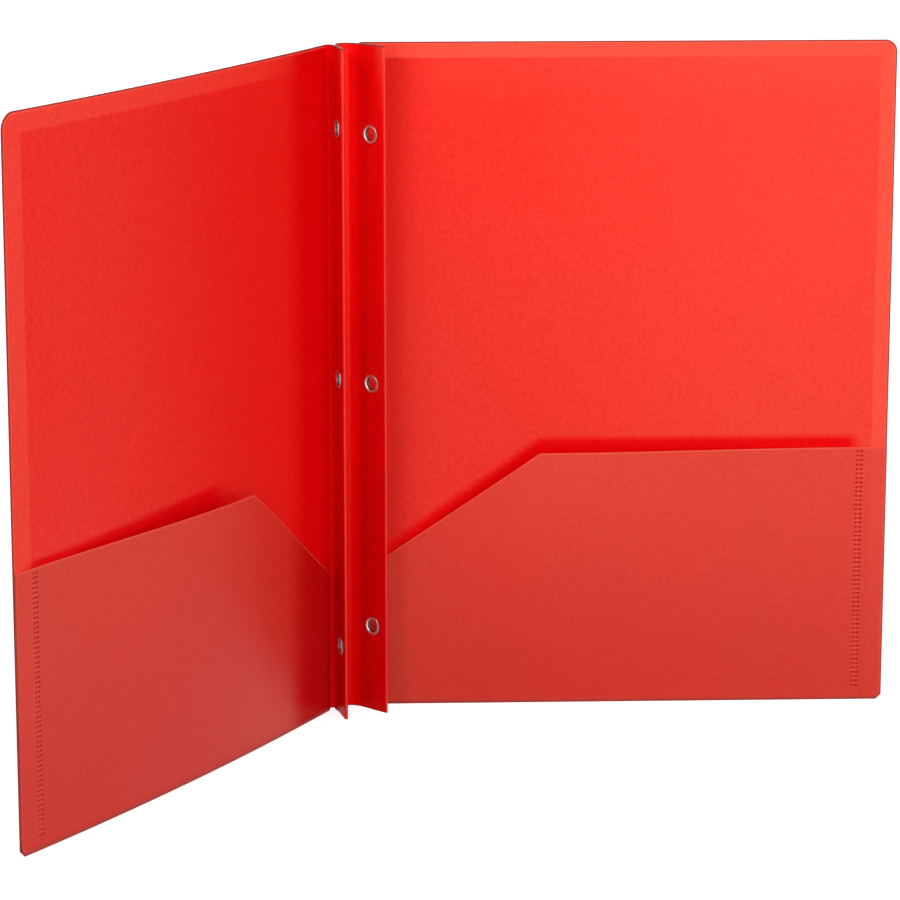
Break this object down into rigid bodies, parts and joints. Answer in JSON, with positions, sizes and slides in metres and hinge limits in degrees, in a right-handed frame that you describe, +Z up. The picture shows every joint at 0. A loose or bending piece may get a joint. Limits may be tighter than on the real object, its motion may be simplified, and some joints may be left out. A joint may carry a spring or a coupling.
{
  "type": "pocket folder",
  "caption": "Two-pocket folder folded from one plastic sheet, standing open, with a pleated spine of two folded fins clamped by metal eyelets.",
  "frame": {"origin": "middle of the rectangle on the floor that the standing folder fills, at its foot", "axes": "+Z up along the folds; +X along the right cover, from its fold to its free edge; +Y out of the right cover's outer face, so that the inside of the folder faces -Y"},
  "size_m": [0.3648, 0.2006, 0.2921],
  "materials": {
    "cover_sheet": "fine matte grain, slightly translucent",
    "flap_sheet": "fine matte grain, slightly translucent",
    "fin_sheet": "fine matte grain, slightly translucent",
    "eyelet_metal": "plated and rolled"
  },
  "bodies": {
    "right_cover": {"right_cover": "cover_sheet", "right_pocket_flap": "flap_sheet"},
    "right_fin": {"right_fin": "fin_sheet", "right_eyelet_top": "eyelet_metal", "right_eyelet_middle": "eyelet_metal", "right_eyelet_bottom": "eyelet_metal"},
    "spine_web": {"spine_web": "fin_sheet"},
    "left_fin": {"left_fin": "fin_sheet", "left_eyelet_top": "eyelet_metal", "left_eyelet_middle": "eyelet_metal", "left_eyelet_bottom": "eyelet_metal"},
    "left_cover": {"left_cover": "cover_sheet", "left_pocket_flap": "flap_sheet"}
  },
  "joints": [
    {"name": "right_cover_fold", "type": "hinge", "parent": "right_cover", "child": "right_fin", "pos_m": [-0.04624, 0.09968, 0], "axis": [0, 0, 1], "range_deg": [-100, 36]},
    {"name": "right_spine_fold", "type": "hinge", "parent": "right_fin", "child": "spine_web", "pos_m": [-0.05131, 0.09794, 0], "axis": [0, 0, 1], "range_deg": [-3, 34]},
    {"name": "left_spine_fold", "type": "hinge", "parent": "spine_web", "child": "left_fin", "pos_m": [-0.05545, 0.09643, 0], "axis": [0, 0, 1], "range_deg": [-20, 15.5]},
    {"name": "left_cover_fold", "type": "hinge", "parent": "left_fin", "child": "left_cover", "pos_m": [-0.0596, 0.09304, 0], "axis": [0, 0, 1], "range_deg": [-110, 32]}
  ]
}
